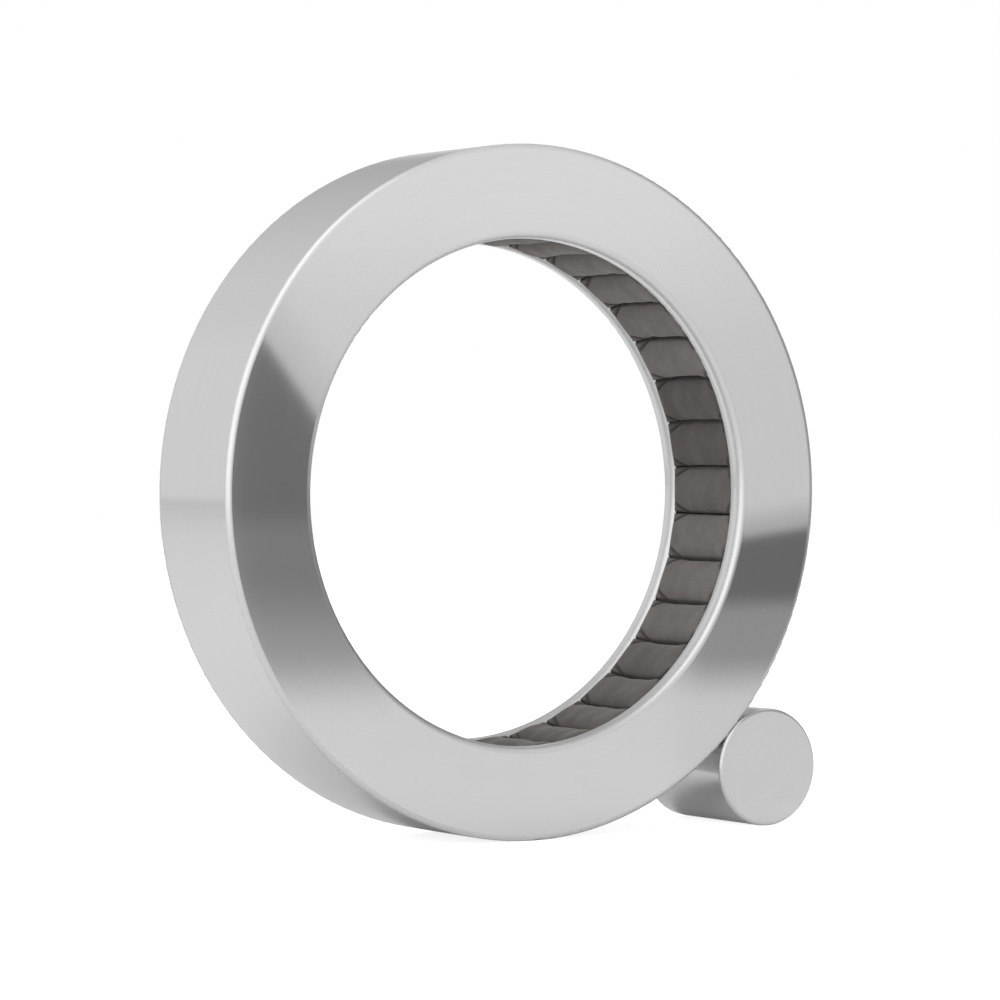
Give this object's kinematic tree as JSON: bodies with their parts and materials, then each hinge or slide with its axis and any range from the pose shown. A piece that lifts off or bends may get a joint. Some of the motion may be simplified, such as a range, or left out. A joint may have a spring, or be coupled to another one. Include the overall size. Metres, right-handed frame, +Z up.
{
  "type": "jewelry organizer",
  "caption": "Upright brushed steel ring on a cylinder foot, with a channel round its opening filled with velvet ring rolls that hold rings and earrings in their slots.",
  "frame": {"origin": "on the table, straight under the ring's axis, halfway along its depth", "axes": "+Z up, +Y along the ring's axis from its front face to its rear face, +X towards the foot"},
  "size_m": [0.2007, 0.0406, 0.2],
  "materials": {
    "brushed_steel": "satin",
    "plain_steel": "satin",
    "velvet": "matte",
    "foam": "matte",
    "board": "matte"
  },
  "bodies": {
    "root": {"outer_band": "brushed_steel", "front_face": "brushed_steel", "rear_face": "brushed_steel", "foam_bed": "foam", "backing_strip": "board", "roll_cores": "foam", "ring_roll_01": "velvet", "ring_roll_02": "velvet", "ring_roll_03": "velvet", "ring_roll_04": "velvet", "ring_roll_05": "velvet", "ring_roll_06": "velvet", "ring_roll_07": "velvet", "ring_roll_08": "velvet", "ring_roll_09": "velvet", "ring_roll_10": "velvet", "ring_roll_11": "velvet", "ring_roll_12": "velvet", "ring_roll_13": "velvet", "ring_roll_14": "velvet", "ring_roll_15": "velvet", "ring_roll_16": "velvet", "ring_roll_17": "velvet", "ring_roll_18": "velvet", "ring_roll_19": "velvet", "ring_roll_20": "velvet", "ring_roll_21": "velvet", "ring_roll_22": "velvet", "ring_roll_23": "velvet", "ring_roll_24": "velvet", "ring_roll_25": "velvet", "ring_roll_26": "velvet", "ring_roll_27": "velvet", "ring_roll_28": "velvet", "ring_roll_29": "velvet", "ring_roll_30": "velvet", "ring_roll_31": "velvet", "ring_roll_32": "velvet", "ring_roll_33": "velvet", "ring_roll_34": "velvet", "foot_tube": "brushed_steel", "foot_front_disc": "brushed_steel", "foot_rear_disc": "brushed_steel", "foot_core": "plain_steel", "clamp_plate": "plain_steel", "foot_screws": "plain_steel"}
  },
  "joints": []
}
